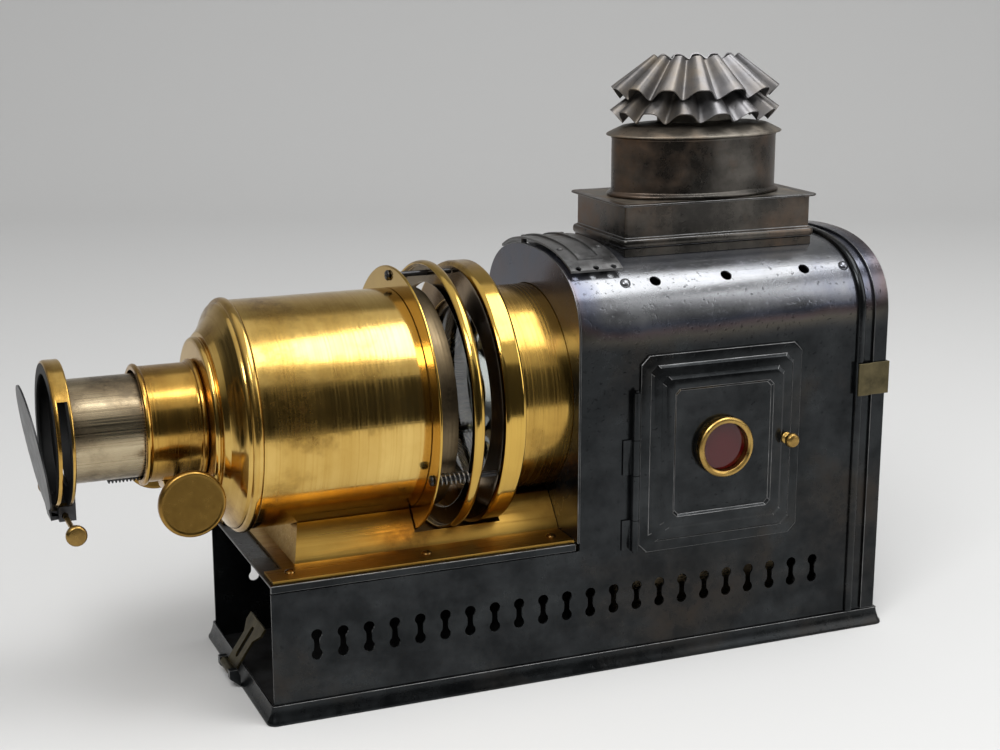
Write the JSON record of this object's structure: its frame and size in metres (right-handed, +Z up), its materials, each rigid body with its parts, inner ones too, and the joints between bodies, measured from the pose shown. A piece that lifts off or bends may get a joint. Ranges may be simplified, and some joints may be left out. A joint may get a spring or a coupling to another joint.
{
  "type": "magic lantern",
  "caption": "Oil-lit slide projector: brass rack-focused lens and sprung slide stage on an iron lamp house with pierced base, hinged doors and a fluted chimney.",
  "frame": {"origin": "centre of the base underside, on the surface that the lantern stands on", "axes": "+X to the rear door, so the lens looks along -X; +Z up; the hinged side door faces -Y"},
  "size_m": [0.4842, 0.1512, 0.3342],
  "materials": {
    "polished_brass": "polished, lacquered",
    "saddle_brass": "satin, brushed",
    "dull_brass": "dull, scratched",
    "satin_brass": "satin brown",
    "gun_iron": "planished sheet iron, near black",
    "brown_iron": "brown heat patina",
    "grey_steel": "grey, stained",
    "dark_steel": "dark, oiled",
    "clear_glass": "polished optical glass",
    "red_glass": "dark red glass"
  },
  "bodies": {
    "lantern": {"base_rim": "gun_iron", "base_floor": "gun_iron", "base_side_left": "gun_iron", "base_side_right": "gun_iron", "base_shelf": "gun_iron", "hasp_lugs": "gun_iron", "front_plate": "gun_iron", "house_side_left": "gun_iron", "house_side_right": "gun_iron", "roof_sheet": "gun_iron", "roof_plate": "gun_iron", "chimney_collar": "brown_iron", "condenser_tube": "polished_brass", "condenser_cell": "dull_brass", "condenser_front_lens": "clear_glass", "condenser_rear_lens": "clear_glass", "stage_back_ring": "polished_brass", "stage_front_flange": "polished_brass", "stage_rod_top": "dark_steel", "stage_rod_left": "dark_steel", "stage_rod_right": "dark_steel", "stage_spring_left": "dark_steel", "stage_spring_right": "dark_steel", "barrel": "polished_brass", "barrel_nose": "polished_brass", "lens_jacket": "polished_brass", "pinion_bracket": "polished_brass", "saddle": "saddle_brass", "side_door_hinge": "gun_iron", "rear_bead": "gun_iron", "rear_hinge_lower": "gun_iron", "rear_hinge_upper": "gun_iron", "lamp_tray": "brown_iron", "oil_tank": "dull_brass", "flame_chamber": "dark_steel"},
    "lens_tube": {"draw_tube": "dull_brass", "focus_rack": "dark_steel", "hood_ring": "polished_brass", "hood_bracket": "dark_steel", "objective_front_lens": "clear_glass", "objective_rear_lens": "clear_glass"},
    "focus_knobs": {"pinion_shaft": "dark_steel", "focus_wheel_left": "satin_brass", "focus_wheel_right": "satin_brass"},
    "press_plate": {"pressure_plate": "polished_brass"},
    "flap": {"flap_disc": "dark_steel", "flap_shaft": "satin_brass"},
    "side_door": {"side_door": "gun_iron", "peephole_ring": "satin_brass", "peephole_glass": "red_glass", "side_door_knob": "satin_brass"},
    "rear_door": {"rear_door": "gun_iron", "rear_latch": "dull_brass"},
    "chimney": {"chimney_box": "brown_iron", "chimney_tube": "brown_iron", "chimney_cowl": "brown_iron", "crown_lower": "grey_steel", "crown_upper": "grey_steel"},
    "hasp": {"hasp_plate": "dull_brass"},
    "wick": {"wick_spindle": "dull_brass"}
  },
  "joints": [
    {"name": "focus_slide", "type": "slide", "parent": "lantern", "child": "lens_tube", "axis": [1, 0, 0], "range_m": [-0.015, 0.028]},
    {"name": "focus_spin", "type": "hinge", "parent": "lantern", "child": "focus_knobs", "pos_m": [-0.2188, 0, 0.11878], "axis": [0, 1, 0], "range_deg": [-290, 540]},
    {"name": "stage_press", "type": "slide", "parent": "lantern", "child": "press_plate", "axis": [-1, 0, 0], "range_m": [0, 0.01], "stiffness_N_per_m": 300, "deforming": ["stage_spring_left", "stage_spring_right"]},
    {"name": "flap_hinge", "type": "hinge", "parent": "lens_tube", "child": "flap", "pos_m": [-0.2775, 0, 0.1098], "axis": [0, -1, 0], "range_deg": [-9, 95]},
    {"name": "side_door_hinge", "type": "hinge", "parent": "lantern", "child": "side_door", "pos_m": [0.0221, -0.0668, 0.12], "axis": [0, 0, -1], "range_deg": [0, 110]},
    {"name": "rear_door_hinge", "type": "hinge", "parent": "lantern", "child": "rear_door", "pos_m": [0.1715, 0.06678, 0.114], "axis": [0, 0, 1], "range_deg": [0, 120]},
    {"name": "chimney_lift", "type": "slide", "parent": "lantern", "child": "chimney", "axis": [0, 0, 1], "range_m": [0, 0.015]},
    {"name": "hasp_hinge", "type": "hinge", "parent": "lantern", "child": "hasp", "pos_m": [-0.1932, 0, 0.0084], "axis": [0, -1, 0], "range_deg": [0, 110]},
    {"name": "wick_spin", "type": "hinge", "parent": "lantern", "child": "wick", "pos_m": [0.145, 0, 0.06], "axis": [1, 0, 0], "continuous": true}
  ],
  "couplings": [
    {"joint": "focus_spin", "follows": "focus_slide", "rad_per_m": 333.33}
  ]
}
